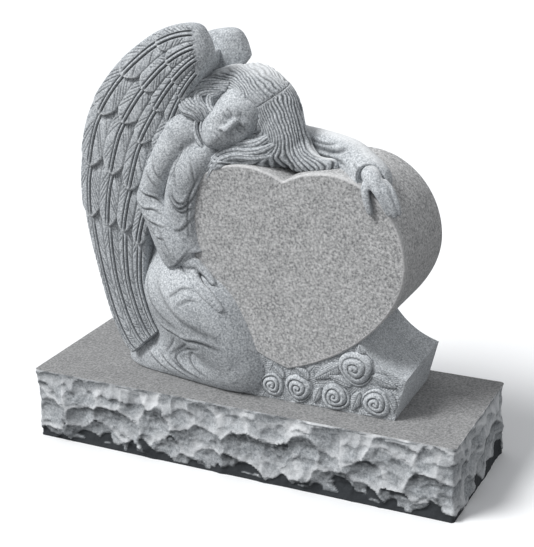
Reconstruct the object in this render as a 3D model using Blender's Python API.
"""Kneeling angel leaning on a heart, a granite memorial in two stones.

The carved monument is one stone: a heart on a rose block, with a robed angel who kneels beside it
and lays her head and arms on it. It rests on a base slab with a flat top and rock-faced sides.
Metres, +Z up, front towards -Y. The origin is on the ground under the slab's centre.
"""

import math

import bmesh
import bpy
import numpy as np
from mathutils import Matrix, Vector, noise

# Base slab
SLAB_LENGTH = 1.219
SLAB_DEPTH = 0.406
SLAB_HEIGHT = 0.203
ROCK_BULGE = 0.016
ROCK_COLUMN = 0.047
SEAT_GAP = 0.0003

# Heart
STONE_FRONT = -0.125
STONE_THICKNESS = 0.275
HEART_CENTRE = 0.133
HEART_WIDTH = 0.632
HEART_HEIGHT = 0.527
HEART_CLEFT = 0.030
HEART_LIFT = 0.096
HEART_ARRIS = 0.004

# Rose block under the heart
BLOCK_RIGHT = 0.421
BLOCK_OVERHANG = 0.030
BLOCK_SHOULDER = 0.114
BLOCK_LEFT = -0.080
ROSE_GROUND = 0.008

# The clay model that the figure's tables were measured on: its heart's width, centre line and top,
# and its thickness and mid-plane
MODEL_WIDTH = 0.632
MODEL_CENTRE = 0.133
MODEL_TOP = 0.826
MODEL_FLOOR = 0.203
MODEL_THICKNESS = 0.275
MODEL_MIDDLE = 0.0125

GRANITE_CARVED = (0.40, 0.41, 0.43, 1.0)
GRANITE_SLAB = (0.50, 0.50, 0.51, 1.0)

HEART_TIP = SLAB_HEIGHT + HEART_LIFT
HEART_TOP = HEART_TIP + HEART_HEIGHT
STONE_BACK = STONE_FRONT + STONE_THICKNESS
STONE_MIDDLE = STONE_FRONT + STONE_THICKNESS / 2


def posed(x, y, z):
    """A point of the model's tables, brought to the real stone in proportion to its heart."""
    return Vector((
        HEART_CENTRE + (x - MODEL_CENTRE) * HEART_WIDTH / MODEL_WIDTH,
        STONE_MIDDLE + (y - MODEL_MIDDLE) * STONE_THICKNESS / MODEL_THICKNESS,
        SLAB_HEIGHT + (z - MODEL_FLOOR) * (HEART_TOP - SLAB_HEIGHT) / (MODEL_TOP - MODEL_FLOOR),
    ))


def clear_scene():
    for old in list(bpy.data.objects):
        bpy.data.objects.remove(old)


def granite(name, colour, roughness):
    material = bpy.data.materials.new(name)
    material.use_nodes = True
    shader = material.node_tree.nodes["Principled BSDF"]
    shader.inputs["Base Color"].default_value = colour
    shader.inputs["Roughness"].default_value = roughness
    shader.inputs["Metallic"].default_value = 0.0
    return material


def object_from(name, bm, helper=False):
    """The bmesh as an object with outward faces. A helper is a cutter or a form to be joined."""
    bmesh.ops.recalc_face_normals(bm, faces=bm.faces)
    mesh = bpy.data.meshes.new(name)
    bm.to_mesh(mesh)
    bm.free()
    obj = bpy.data.objects.new(name, mesh)
    bpy.context.scene.collection.objects.link(obj)
    if helper:
        obj.hide_render = True
        obj.display_type = "WIRE"
    return obj


def bezier(points, count):
    """Points along a cubic Bezier, without its last one."""
    t = np.linspace(0.0, 1.0, count, endpoint=False)[:, None]
    a, b, c, d = (np.array(p, float) for p in points)
    return (1 - t) ** 3 * a + 3 * (1 - t) ** 2 * t * b + 3 * (1 - t) * t**2 * c + t**3 * d


def smooth_line(points, count):
    """A Catmull-Rom line through the points, evenly spread over them."""
    p = np.array(points, float)
    p = np.vstack([2 * p[0] - p[1], p, 2 * p[-1] - p[-2]])
    u = np.linspace(0.0, len(points) - 1, count)
    i = np.minimum(u.astype(int), len(points) - 2)
    t = (u - i)[:, None]
    a, b, c, d = p[i], p[i + 1], p[i + 2], p[i + 3]
    return 0.5 * (2 * b + (c - a) * t + (2 * a - 5 * b + 4 * c - d) * t**2 + (3 * b - a - 3 * c + d) * t**3)


def prism(bm, outline, y_front, y_back):
    """An outline in the XZ plane carried from y_front to y_back."""
    front = [bm.verts.new((x, y_front, z)) for x, z in outline]
    face = bm.faces.new(front)
    back = bmesh.ops.extrude_face_region(bm, geom=[face])["geom"]
    moved = [v for v in back if isinstance(v, bmesh.types.BMVert)]
    bmesh.ops.translate(bm, verts=moved, vec=(0.0, y_back - y_front, 0.0))


# Base slab: a sawn block whose four sides are pitched off with a chisel

def rock_relief(distance, level, side):
    """How far the broken face stands out, from 0 to 1: shallow shells, most at mid-height."""
    shells = abs(noise.noise(Vector((distance * 7.0, level * 1.6, side * 9.1))))
    chips = noise.noise(Vector((distance * 19.0, level * 4.2, side * 3.7 + 5.0)))
    belly = math.sin(math.pi * min(1.0, level * 1.15)) ** 0.6
    return belly * (0.55 + 0.65 * shells + 0.22 * chips)


def slab_side(length, side, levels):
    """Relief of one side as rows of levels by columns, scaled so that its proudest point is 1."""
    columns = max(4, round(length / ROCK_COLUMN))
    relief = np.zeros((len(levels), columns))
    for row, level in enumerate(levels):
        for column in range(columns):
            along = column / columns
            taper = min(1.0, 5.0 * min(along, 1.0 - along))
            relief[row, column] = taper * rock_relief(along * length, level, side)
    return relief / relief.max()


def base_slab():
    levels = [0.0, 0.12, 0.30, 0.52, 0.74, 0.90, 1.0]
    half = Vector((SLAB_LENGTH / 2, SLAB_DEPTH / 2, 0.0))
    corners = [(-1, -1), (1, -1), (1, 1), (-1, 1)]
    rows = [[] for _ in levels]
    for side, (sx, sy) in enumerate(corners):
        nx, ny = corners[(side + 1) % 4]
        start = Vector((sx * half.x, sy * half.y, 0.0))
        end = Vector((nx * half.x, ny * half.y, 0.0))
        outward = Vector(((end - start).y, -(end - start).x, 0.0)).normalized()
        relief = slab_side((end - start).length, side, levels)
        for row, level in enumerate(levels):
            for column in range(relief.shape[1]):
                place = start.lerp(end, column / relief.shape[1])
                edge = 0.0 if row in (0, len(levels) - 1) else relief[row, column]
                place = place + outward * ROCK_BULGE * edge
                rows[row].append((place.x, place.y, level * SLAB_HEIGHT))
    bm = bmesh.new()
    loops = [[bm.verts.new(p) for p in row] for row in rows]
    count = len(loops[0])
    for lower, upper in zip(loops, loops[1:]):
        for k in range(count):
            nxt = (k + 1) % count
            bm.faces.new((lower[k], lower[nxt], upper[nxt], upper[k]))
    bm.faces.new(loops[0][::-1])
    bm.faces.new(loops[-1])
    slab = object_from("base_slab", bm)
    slab.data.materials.append(granite("granite, rock-faced", GRANITE_SLAB, 0.75))
    return slab


# Heart: two mirrored runs of three curves from the cleft over a lobe to the tip

def heart_outline():
    half = HEART_WIDTH / 2
    cleft = HEART_TOP - HEART_CLEFT
    widest = HEART_TIP + 0.59 * HEART_HEIGHT
    lobe = (0.364 * half, HEART_TOP)
    flank = (half, widest)
    right = np.vstack([
        bezier([(0, cleft), (0.11 * half, cleft + 0.6 * HEART_CLEFT), (0.22 * half, HEART_TOP), lobe], 4),
        bezier([lobe, (0.712 * half, HEART_TOP), (half, HEART_TIP + 0.82 * HEART_HEIGHT), flank], 10),
        bezier([flank, (half, HEART_TIP + 0.36 * HEART_HEIGHT),
                (0.57 * half, HEART_TIP + 0.10 * HEART_HEIGHT), (0, HEART_TIP)], 12),
        [(0, HEART_TIP)],
    ])
    left = right[-2:0:-1] * (-1, 1)
    return [(HEART_CENTRE + x, z) for x, z in np.vstack([right, left])]


def heart():
    bm = bmesh.new()
    prism(bm, heart_outline(), STONE_FRONT, STONE_BACK)
    rims = [e for e in bm.edges if abs(e.verts[0].co.y - e.verts[1].co.y) < HEART_ARRIS]
    bmesh.ops.bevel(bm, geom=rims, offset=HEART_ARRIS, segments=1, affect="EDGES")
    return object_from("heart", bm)


# Rose block: its right end leans out, and its top sweeps down from the heart in a hollow curve

def rose_block_outline():
    floor = SLAB_HEIGHT + SEAT_GAP
    shoulder = SLAB_HEIGHT + BLOCK_SHOULDER
    flank = (HEART_CENTRE + 0.60 * HEART_WIDTH / 2, HEART_TIP + 0.215 * HEART_HEIGHT)
    corner = (BLOCK_RIGHT + BLOCK_OVERHANG, shoulder)
    sweep = bezier([flank, (flank[0] + 0.25 * (corner[0] - flank[0]), flank[1] - 0.52 * (flank[1] - shoulder)),
                    (corner[0] - 0.45 * (corner[0] - flank[0]), shoulder + 0.17 * (flank[1] - shoulder)),
                    corner], 7)
    return [(BLOCK_LEFT, floor), (BLOCK_RIGHT, floor), corner, *sweep[:0:-1],
            flank, (HEART_CENTRE, HEART_TIP + 0.1 * HEART_HEIGHT), (BLOCK_LEFT, flank[1])]


def rose_block():
    bm = bmesh.new()
    prism(bm, rose_block_outline(), STONE_FRONT + ROSE_GROUND, STONE_BACK - ROSE_GROUND / 2)
    return object_from("rose_block", bm, helper=True)


# Roses: x, z and radius
ROSES = [(0.087, 0.245, 0.033), (0.161, 0.248, 0.038), (0.263, 0.244, 0.041),
         (0.373, 0.245, 0.042), (0.321, 0.331, 0.046)]
# Radius and height of each ring of a rose, as shares of its radius, from rim to bud
ROSE_RINGS = [(1.0, -0.15), (0.97, 0.22), (0.74, 0.10), (0.68, 0.36), (0.44, 0.20), (0.38, 0.46), (0.12, 0.34)]
ROSE_SIDES = 12
ROSE_GROUND_AT = MODEL_MIDDLE - MODEL_THICKNESS / 2 + ROSE_GROUND


def rose(bm, x, z, radius):
    ground = ROSE_GROUND_AT
    rings = []
    for k, (share, rise) in enumerate(ROSE_RINGS):
        ring = []
        for side in range(ROSE_SIDES):
            angle = 2 * math.pi * side / ROSE_SIDES
            r = radius * share * (1 + 0.07 * math.cos(3 * angle + 1.9 * k))
            ring.append(bm.verts.new(posed(x + r * math.cos(angle), ground - rise * radius,
                                           max(z + r * math.sin(angle), MODEL_FLOOR + 0.002))))
        rings.append(ring)
    for outer, inner in zip(rings, rings[1:]):
        for side in range(ROSE_SIDES):
            nxt = (side + 1) % ROSE_SIDES
            bm.faces.new((outer[side], outer[nxt], inner[nxt], inner[side]))
    bm.faces.new(rings[-1])
    bm.faces.new(rings[0][::-1])


def roses():
    bm = bmesh.new()
    for x, z, radius in ROSES:
        rose(bm, x, z, radius)
    return object_from("roses", bm, helper=True)


# Leaves between the roses: root x, z, then tip x, z and half-width
LEAVES = [(0.283, 0.335, 0.205, 0.283, 0.017), (0.193, 0.278, 0.153, 0.306, 0.013),
          (0.309, 0.281, 0.245, 0.296, 0.014), (0.365, 0.318, 0.424, 0.297, 0.015),
          (0.399, 0.285, 0.427, 0.233, 0.013), (0.329, 0.267, 0.309, 0.219, 0.013),
          (0.338, 0.371, 0.335, 0.390, 0.012), (0.121, 0.269, 0.089, 0.293, 0.011)]
LEAF_RISE = 0.009


def leaves():
    """Each leaf is a lens with a raised midrib."""
    bm = bmesh.new()
    ground = ROSE_GROUND_AT
    for x0, z0, x1, z1, width in LEAVES:
        along = Vector((x1 - x0, 0.0, z1 - z0))
        across = Vector((-along.z, 0.0, along.x)).normalized() * width
        root = Vector((x0, ground, z0))
        front, back, rib = [], [], []
        for share, swell in ((0.0, 0.0), (0.3, 0.9), (0.65, 0.85), (1.0, 0.0)):
            middle = root + along * share
            rise = LEAF_RISE * (0.35 + swell)
            rib.append(bm.verts.new(posed(middle.x, ground - rise, middle.z)))
            if swell:
                for side, row in ((1, front), (-1, back)):
                    edge = middle + across * swell * side
                    row.append([bm.verts.new(posed(edge.x, ground - 0.2 * LEAF_RISE, edge.z)),
                                bm.verts.new(posed(edge.x, ground + LEAF_RISE, edge.z))])
        heel = bm.verts.new(posed(root.x, ground + LEAF_RISE, root.z))
        tip = root + along
        toe = bm.verts.new(posed(tip.x, ground + LEAF_RISE, tip.z))
        for row in (front, back):
            top, low = [rib[0], row[0][0], row[1][0], rib[3]], [heel, row[0][1], row[1][1], toe]
            for k in range(3):
                bm.faces.new((rib[k], top[k], top[k + 1], rib[k + 1]) if 0 < k < 2 else
                             ((rib[0], rib[1], top[1]) if k == 0 else (rib[2], rib[3], top[2])))
                bm.faces.new((top[k], low[k], low[k + 1], top[k + 1]))
        bm.faces.new((heel, front[0][1], front[1][1], toe, back[1][1], back[0][1]))
    return object_from("leaves", bm, helper=True)


# Figure: rounded forms as stations x, y, z, radius, on the model's measures
LIMBS = {
    "near thigh": [(-0.205, -0.035, 0.445, 0.108), (-0.120, -0.070, 0.435, 0.098), (-0.075, -0.078, 0.375, 0.092),
                   (-0.005, -0.085, 0.283, 0.066)],
    "far thigh": [(-0.210, 0.048, 0.448, 0.100), (-0.100, 0.065, 0.372, 0.090), (-0.008, 0.075, 0.285, 0.068)],
    "near shin": [(-0.005, -0.080, 0.262, 0.064), (-0.160, -0.056, 0.255, 0.058), (-0.270, -0.030, 0.250, 0.054),
                  (-0.350, -0.014, 0.234, 0.038)],
    "far shin": [(-0.008, 0.078, 0.265, 0.062), (-0.160, 0.060, 0.252, 0.055), (-0.345, 0.040, 0.238, 0.040)],
    "waist": [(-0.216, 0.012, 0.495, 0.098), (-0.190, 0.006, 0.605, 0.080), (-0.150, 0.0, 0.745, 0.086),
              (-0.128, 0.0, 0.835, 0.078)],
    "shoulders": [(-0.150, -0.070, 0.883, 0.052), (-0.115, 0.010, 0.885, 0.062), (-0.075, 0.090, 0.872, 0.050)],
    "neck": [(-0.115, 0.0, 0.905, 0.052), (-0.055, -0.020, 0.915, 0.046)],
    "near upper arm": [(-0.156, -0.080, 0.883, 0.050), (-0.213, -0.098, 0.800, 0.038),
                       (-0.252, -0.100, 0.712, 0.038)],
    "near forearm": [(-0.252, -0.100, 0.705, 0.040), (-0.200, -0.115, 0.640, 0.038), (-0.158, -0.124, 0.580, 0.037)],
    "near sleeve hem": [(-0.255, -0.092, 0.690, 0.030), (-0.215, -0.108, 0.602, 0.029),
                        (-0.188, -0.114, 0.540, 0.022)],
    "near palm": [(-0.160, -0.126, 0.568, 0.021), (-0.118, -0.130, 0.552, 0.016)],
    "near forefinger": [(-0.114, -0.129, 0.553, 0.012), (-0.070, -0.128, 0.514, 0.009)],
    "near fingers": [(-0.136, -0.136, 0.540, 0.013), (-0.084, -0.158, 0.491, 0.012), (-0.050, -0.156, 0.464, 0.009)],
    "far upper arm": [(-0.075, 0.090, 0.868, 0.050), (0.080, 0.062, 0.846, 0.045), (0.190, 0.026, 0.842, 0.043)],
    "far forearm": [(0.190, 0.026, 0.842, 0.043), (0.270, -0.020, 0.842, 0.040), (0.320, -0.056, 0.825, 0.038)],
    "far cuff": [(0.318, -0.054, 0.826, 0.038), (0.352, -0.080, 0.804, 0.041)],
    "far palm": [(0.345, -0.085, 0.812, 0.022), (0.378, -0.124, 0.806, 0.019)],
    "far thumb": [(0.352, -0.116, 0.808, 0.013), (0.365, -0.124, 0.749, 0.010)],
    "far fingers": [(0.384, -0.116, 0.810, 0.017), (0.405, -0.122, 0.776, 0.015), (0.423, -0.122, 0.747, 0.013)],
    "hair to the right": [(0.056, 0.0, 0.958, 0.058), (0.080, -0.020, 0.920, 0.050), (0.104, -0.036, 0.880, 0.044),
                          (0.130, -0.038, 0.850, 0.034), (0.165, -0.058, 0.838, 0.023), (0.215, -0.076, 0.831, 0.012)],
    "lock under the cheek": [(0.110, -0.050, 0.846, 0.026), (0.060, -0.084, 0.844, 0.019),
                             (-0.015, -0.104, 0.836, 0.015), (-0.060, -0.118, 0.810, 0.013),
                             (-0.083, -0.121, 0.775, 0.010)],
    "hair to the left": [(-0.010, 0.030, 0.985, 0.062), (-0.080, -0.010, 0.975, 0.046), (-0.132, -0.060, 0.955, 0.037),
                         (-0.128, -0.098, 0.925, 0.027), (-0.104, -0.112, 0.885, 0.019), (-0.082, -0.118, 0.855, 0.014)],
    "hair down the back": [(-0.070, 0.040, 0.980, 0.055), (-0.150, 0.030, 0.930, 0.055), (-0.205, 0.020, 0.800, 0.050)],
}
# Round masses: centre x, y, z and the three half-sizes
MASSES = {
    "hips": ((-0.207, 0.003, 0.438), (0.112, 0.122, 0.122)),
    "skirt": ((-0.180, -0.036, 0.350), (0.108, 0.092, 0.108)),
    "far skirt": ((-0.178, 0.055, 0.352), (0.106, 0.078, 0.106)),
    "lap": ((-0.110, 0.012, 0.300), (0.125, 0.090, 0.095)),
    "belly": ((-0.155, -0.010, 0.620), (0.080, 0.100, 0.115)),
    "bed of hair": ((0.015, -0.030, 0.856), (0.116, 0.064, 0.051)),
    "chest": ((-0.130, -0.040, 0.768), (0.076, 0.083, 0.122)),
}
# Raised folds of the robe, as x, z where the front of the figure is
FOLDS = {
    "neckline": [(-0.196, 0.765), (-0.186, 0.722), (-0.152, 0.683), (-0.126, 0.712), (-0.108, 0.760)],
    "inner neckline": [(-0.180, 0.800), (-0.172, 0.752), (-0.150, 0.722), (-0.126, 0.757)],
    "elbow": [(-0.262, 0.742), (-0.245, 0.712), (-0.212, 0.690), (-0.190, 0.688)],
    "lower elbow": [(-0.280, 0.725), (-0.262, 0.690), (-0.232, 0.662), (-0.205, 0.655)],
    "upper sleeve": [(-0.226, 0.840), (-0.236, 0.795), (-0.226, 0.755), (-0.205, 0.735)],
    "hip": [(-0.290, 0.545), (-0.250, 0.512), (-0.185, 0.500), (-0.140, 0.515)],
    "lower hip": [(-0.290, 0.490), (-0.225, 0.465), (-0.150, 0.462), (-0.100, 0.480)],
    "thigh": [(-0.275, 0.415), (-0.225, 0.360), (-0.150, 0.325), (-0.060, 0.290)],
    "shin": [(-0.320, 0.262), (-0.255, 0.292), (-0.190, 0.272), (-0.140, 0.230)],
    "lower shin": [(-0.290, 0.240), (-0.235, 0.256), (-0.190, 0.232)],
    "far sleeve": [(0.140, 0.860), (0.185, 0.868), (0.240, 0.856)],
    "far elbow": [(0.165, 0.838), (0.215, 0.844), (0.262, 0.836)],
}
FOLD_RADIUS = 0.009
FOLD_SUNK = 0.35
# Head: its place between the eyes, its crown and front directions, and its forms as shares up from
# the eyes, forward and towards the left cheek, in metres
EYES = (0.002, -0.108, 0.932)
CROWN_WAY = (0.690, 0.380, 0.620)
FRONT_WAY = (0.420, -0.890, 0.080)
HEAD_MASSES = {
    "skull": ((0.042, -0.095, 0.0), (0.096, 0.092, 0.076)),
    "jaw": ((-0.030, -0.038, 0.0), (0.056, 0.046, 0.050)),
    "cap of hair": ((0.056, -0.098, 0.007), (0.095, 0.099, 0.084)),
}
HEAD_LIMBS = {
    "nose": [(0.010, 0.000, 0.0, 0.008), (-0.030, 0.014, 0.0, 0.009)],
    "brow": [(0.008, -0.016, -0.034, 0.010), (0.013, -0.006, 0.0, 0.011), (0.008, -0.016, 0.034, 0.010)],
    "lips": [(-0.049, 0.001, -0.011, 0.006), (-0.049, 0.001, 0.011, 0.006)],
    "chin": [(-0.068, -0.006, -0.006, 0.014), (-0.068, -0.006, 0.006, 0.014)],
}
LOCKS_PER_SIDE = 6
LOCK_RADIUS = 0.0075
VOXEL = 0.005
SMOOTHING = 3
FIGURE_SHARE = 0.046


def head_frame():
    up = Vector(CROWN_WAY).normalized()
    front = Vector(FRONT_WAY)
    front = (front - up * front.dot(up)).normalized()
    return Matrix((up, front, up.cross(front))).transposed()


def in_head(a, n, w):
    return posed(*(Vector(EYES) + head_frame() @ Vector((a, n, w))))


def locks():
    """Locks of hair that run over the cap from the parting: a share of its turn at each step."""
    (a, n, w), (high, deep, wide) = HEAD_MASSES["cap of hair"]
    found = []
    for k in range(LOCKS_PER_SIDE):
        along = -0.30 + 1.15 * k / LOCKS_PER_SIDE
        for side in (-1, 1):
            line = []
            for turn in (0.10, 0.45, 0.85, 1.25):
                lean = along + 0.22 * math.sin(2.2 * turn + k)
                ring = math.sqrt(max(0.0, 1 - min(lean * lean, 0.96)))
                line.append((a + high * lean, n + deep * ring * math.cos(turn * 1.15 - 0.25),
                             w + side * wide * ring * math.sin(turn * 1.15)))
            found.append([(*in_head(*p), LOCK_RADIUS) for p in line])
    return found


def round_cone(bm, start, start_radius, end, end_radius):
    """The hull of two balls."""
    for centre, radius in ((start, start_radius), (end, end_radius)):
        bmesh.ops.create_icosphere(bm, subdivisions=3, radius=radius, matrix=Matrix.Translation(centre))
    hull = bmesh.ops.convex_hull(bm, input=list(bm.verts))
    spare = hull["geom_interior"] + hull["geom_unused"]
    bmesh.ops.delete(bm, geom=[v for v in spare if isinstance(v, bmesh.types.BMVert)], context="VERTS")


def add_chain(bm, line):
    """Round cones from station to station. Each station is a place and a radius."""
    for start, end in zip(line, line[1:]):
        cone = bmesh.new()
        round_cone(cone, Vector(start[:3]), start[3], Vector(end[:3]), end[3])
        held = bpy.data.meshes.new("cone")
        cone.to_mesh(held)
        cone.free()
        bm.from_mesh(held)
        bpy.data.meshes.remove(held)


def front_of(x, z):
    """The foremost y of the figure's limbs and masses at x, z, on the model's measures."""
    found = []
    for line in LIMBS.values():
        for start, end in zip(line, line[1:]):
            for cx, cy, cz, radius in np.linspace(start, end, 24):
                inside = radius**2 - (x - cx) ** 2 - (z - cz) ** 2
                if inside > 0:
                    found.append(cy - math.sqrt(inside))
    for (cx, cy, cz), (wide, deep, high) in MASSES.values():
        inside = 1 - ((x - cx) / wide) ** 2 - ((z - cz) / high) ** 2
        if inside > 0:
            found.append(cy - deep * math.sqrt(inside))
    return min(found, default=MODEL_MIDDLE)


def fold_line(points):
    """The fold through these places, thin at both ends, sunk a little into the figure's front."""
    line = []
    for k, (x, z) in enumerate(smooth_line(points, 3 * len(points) - 2)):
        swell = math.sin(math.pi * (0.12 + 0.76 * k / (3 * len(points) - 3)))
        radius = FOLD_RADIUS * swell
        line.append((*posed(x, front_of(x, z) + FOLD_SUNK * radius, z), radius))
    return line


def figure():
    bm = bmesh.new()
    chains = [[(*posed(*s[:3]), s[3]) for s in line] for line in LIMBS.values()]
    chains += [fold_line(points) for points in FOLDS.values()]
    chains += [[(*in_head(*s[:3]), s[3]) for s in line] for line in HEAD_LIMBS.values()]
    for line in chains + locks():
        add_chain(bm, line)
    masses = [(Matrix.Translation(posed(*centre)), sizes) for centre, sizes in MASSES.values()]
    masses += [(Matrix.Translation(in_head(*centre)) @ head_frame().to_4x4(), sizes)
               for centre, sizes in HEAD_MASSES.values()]
    for place, sizes in masses:
        bmesh.ops.create_icosphere(bm, subdivisions=4, radius=1.0, matrix=place @ Matrix.Diagonal((*sizes, 1.0)))
    body = object_from("figure", bm, helper=True)
    remesh = body.modifiers.new("one skin", "REMESH")
    remesh.mode = "VOXEL"
    remesh.voxel_size = VOXEL
    soften = body.modifiers.new("soften", "SMOOTH")
    soften.factor = 0.6
    soften.iterations = SMOOTHING
    fewer = body.modifiers.new("facets", "DECIMATE")
    fewer.ratio = FIGURE_SHARE
    return body


# Wings: flow lines of the wing's outer and inner edge from the wrist to the tip, x and z
WING_OUTER = [(-0.079, 1.112), (-0.117, 1.154), (-0.192, 1.148), (-0.272, 1.108), (-0.367, 1.029), (-0.445, 0.915),
              (-0.482, 0.763), (-0.479, 0.623), (-0.453, 0.489), (-0.419, 0.353), (-0.383, 0.272), (-0.356, 0.244)]
WING_INNER = [(-0.072, 1.083), (-0.092, 1.045), (-0.125, 0.995), (-0.150, 0.945), (-0.170, 0.890), (-0.205, 0.810),
              (-0.245, 0.690), (-0.280, 0.590), (-0.295, 0.475), (-0.285, 0.410), (-0.270, 0.365), (-0.255, 0.335)]
# Tips of the tiers down the wing, and the feathers' edges and quills across it, as shares
FEATHER_ROOT = 0.10
FEATHER_TIERS = [0.21, 0.33, 0.425, 0.52, 0.62, 1.0]
FEATHER_EDGES = [0.0, 0.17, 0.31, 0.44, 0.57, 0.68, 0.79, 0.90, 1.0]
FEATHER_STEP = 0.009
FEATHER_POINT = 0.03
FEATHER_CAMBER = 0.005
WING_HALF_THICKNESS = 0.045
WING_FROM_MIDDLE = 0.076
FAR_WING_SHIFT = (0.026, -0.036)


def wing(name, outward, shift):
    """A wing between its two flow lines. Rows run down the wing, columns across it. The outer face
    carries tiers of feathers, each a low roof that stands over the next tier's roots."""
    root = FEATHER_ROOT
    rows = [(0.0, 0.0, 0.0), (0.03, 0.0, 0.0), (root, 0.0, 0.0)]
    for end in FEATHER_TIERS:
        last = end == FEATHER_TIERS[-1]
        rows += [(root + 0.02, FEATHER_POINT, 0.15), ((root + end) / 2, 0.5 * FEATHER_POINT, 0.55),
                 (end, 0.0 if last else FEATHER_POINT, 1.0)]
        root = end
    outer, inner = smooth_line(WING_OUTER, 201), smooth_line(WING_INNER, 201)
    bm = bmesh.new()
    sheets = {1: [], -1: []}
    for s, point, rise in rows:
        for side, sheet in sheets.items():
            line = []
            for k, t in enumerate(FEATHER_EDGES):
                on_quill = k % 2
                pick = min(200, int(round((s + point * on_quill) * 200)))
                x, z = outer[pick] * (1 - t) + inner[pick] * t
                belly = math.sin(math.pi * (0.14 + 0.62 * t)) ** 0.7 * min(1.0, 0.35 + 6.0 * s)
                depth = WING_HALF_THICKNESS * belly * (1.0 - 0.30 * s)
                if side > 0 and 0 < k:
                    depth += FEATHER_STEP * rise + (FEATHER_CAMBER if on_quill and rise else 0.0)
                y = MODEL_MIDDLE + outward * (WING_FROM_MIDDLE + side * depth)
                line.append(bm.verts.new(posed(x + shift[0], y, z + shift[1])))
            sheet.append(line)
    for sheet in sheets.values():
        for upper, lower in zip(sheet, sheet[1:]):
            for k in range(len(FEATHER_EDGES) - 1):
                bm.faces.new((upper[k], upper[k + 1], lower[k + 1], lower[k]))
    face, back = sheets[1], sheets[-1]
    for k in (0, len(FEATHER_EDGES) - 1):
        for row in range(len(rows) - 1):
            bm.faces.new((face[row][k], face[row + 1][k], back[row + 1][k], back[row][k]))
    for row in (0, len(rows) - 1):
        for k in range(len(FEATHER_EDGES) - 1):
            bm.faces.new((face[row][k], face[row][k + 1], back[row][k + 1], back[row][k]))
    return object_from(name, bm, helper=True)


# Web of stone left between the two wings, and the low ground that the robe lies on
WEB = [(-0.110, 1.075), (-0.200, 1.080), (-0.320, 1.000), (-0.407, 0.863), (-0.437, 0.683), (-0.412, 0.503),
       (-0.367, 0.323), (-0.357, 0.233), (-0.167, 0.233), (-0.167, 0.853)]
GROUND = [(-0.405, -0.012), (-0.391, -0.050), (-0.352, -0.064), (-0.299, -0.055), (-0.241, -0.072), (-0.168, -0.095),
          (-0.102, -0.120), (-0.038, -0.126), (0.010, -0.119), (0.040, -0.095), (0.040, 0.125), (-0.070, 0.138),
          (-0.270, 0.118), (-0.370, 0.098), (-0.405, 0.060)]
GROUND_HEIGHT = 0.036
WEB_HALF_THICKNESS = 0.055


def web_between_wings():
    bm = bmesh.new()
    outline = [(posed(x, 0, z).x, posed(x, 0, z).z) for x, z in WEB]
    prism(bm, outline, STONE_MIDDLE - WEB_HALF_THICKNESS, STONE_MIDDLE + WEB_HALF_THICKNESS)
    return object_from("web_between_wings", bm, helper=True)


def ground():
    bm = bmesh.new()
    low = [bm.verts.new(posed(x, y, MODEL_FLOOR) + Vector((0, 0, SEAT_GAP))) for x, y in GROUND]
    face = bm.faces.new(low)
    top = bmesh.ops.extrude_face_region(bm, geom=[face])["geom"]
    moved = [v for v in top if isinstance(v, bmesh.types.BMVert)]
    bmesh.ops.translate(bm, verts=moved, vec=(0.0, 0.0, GROUND_HEIGHT))
    return object_from("ground", bm, helper=True)


def seat_cutter():
    """Everything below the monument's flat underside."""
    bm = bmesh.new()
    bmesh.ops.create_cube(bm, size=1.0)
    obj = object_from("seat_cutter", bm, helper=True)
    obj.data.transform(Matrix.Diagonal((2 * SLAB_LENGTH, 2 * SLAB_DEPTH, SLAB_HEIGHT, 1.0)))
    obj.data.transform(Matrix.Translation((0.0, 0.0, SLAB_HEIGHT / 2 + SEAT_GAP)))
    return obj


def monument():
    stone = heart()
    stone.name = "angel_and_heart"
    forms = [rose_block(), ground(), web_between_wings(), figure(),
             wing("near_wing", -1, (0.0, 0.0)), wing("far_wing", 1, FAR_WING_SHIFT),
             roses(), leaves()]
    for form in forms:
        join = stone.modifiers.new(form.name, "BOOLEAN")
        join.operation = "UNION"
        join.object = form
        join.use_self = form.name in ("roses", "leaves")
    cut = stone.modifiers.new("flat underside", "BOOLEAN")
    cut.operation = "DIFFERENCE"
    cut.object = seat_cutter()
    stone.data.materials.append(granite("granite, carved", GRANITE_CARVED, 0.7))
    return stone


clear_scene()
base_slab()
monument()
